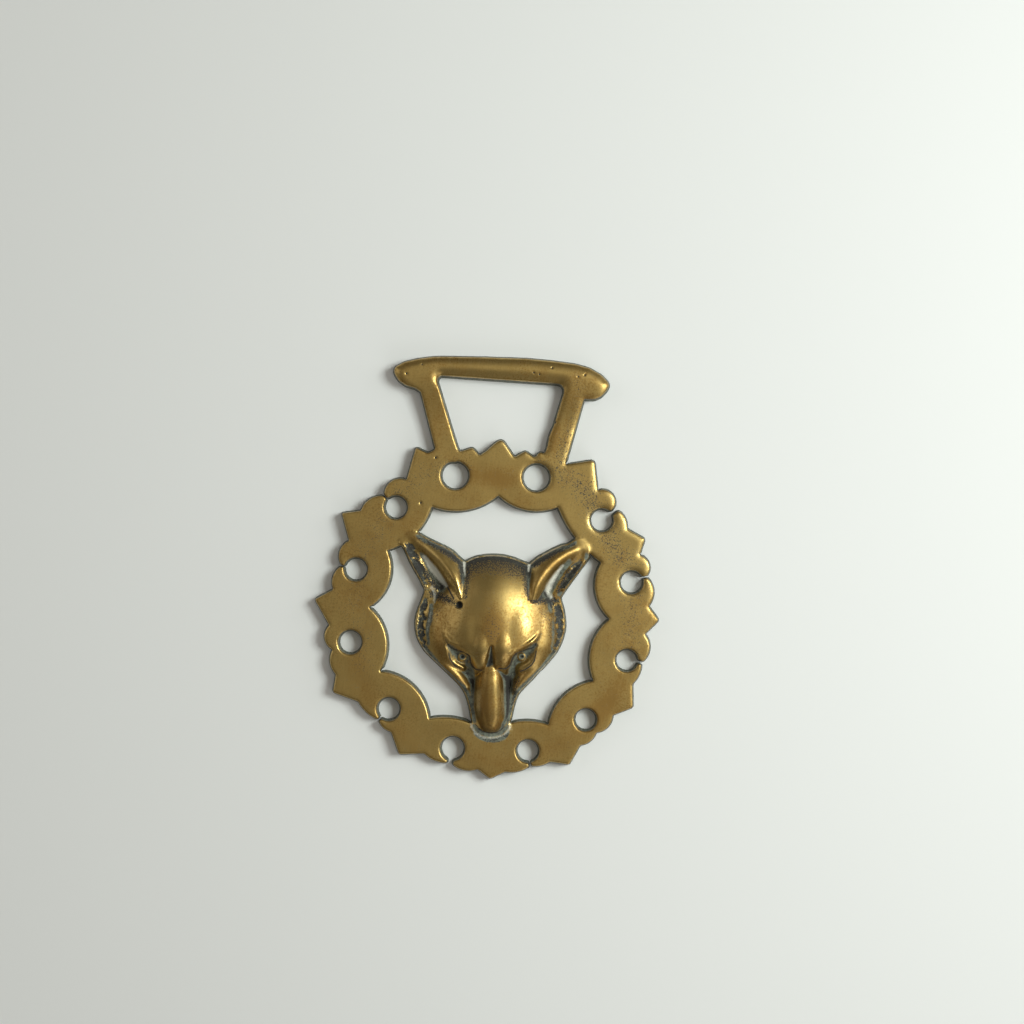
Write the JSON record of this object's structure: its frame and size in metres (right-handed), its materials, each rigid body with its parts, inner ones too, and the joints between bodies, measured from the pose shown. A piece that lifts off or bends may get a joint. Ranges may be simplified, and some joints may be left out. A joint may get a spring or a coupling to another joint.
{
  "type": "horse brass",
  "caption": "Cast horse brass: a fox's mask held in a flat ring of pierced scallops, with a two-legged hanger whose bar takes a harness strap.",
  "frame": {"origin": "middle of the brass's outline on the flat back that it lies on", "axes": "+Z out of the face, +Y from the fox's nose towards the hanger's bar, +X to the right as the face is looked at"},
  "size_m": [0.0726, 0.0888, 0.0091],
  "materials": {
    "brass": "satin, worn bright on the high places, with dark patina in the recesses"
  },
  "bodies": {
    "root": {"horse_brass": "brass"}
  },
  "joints": []
}
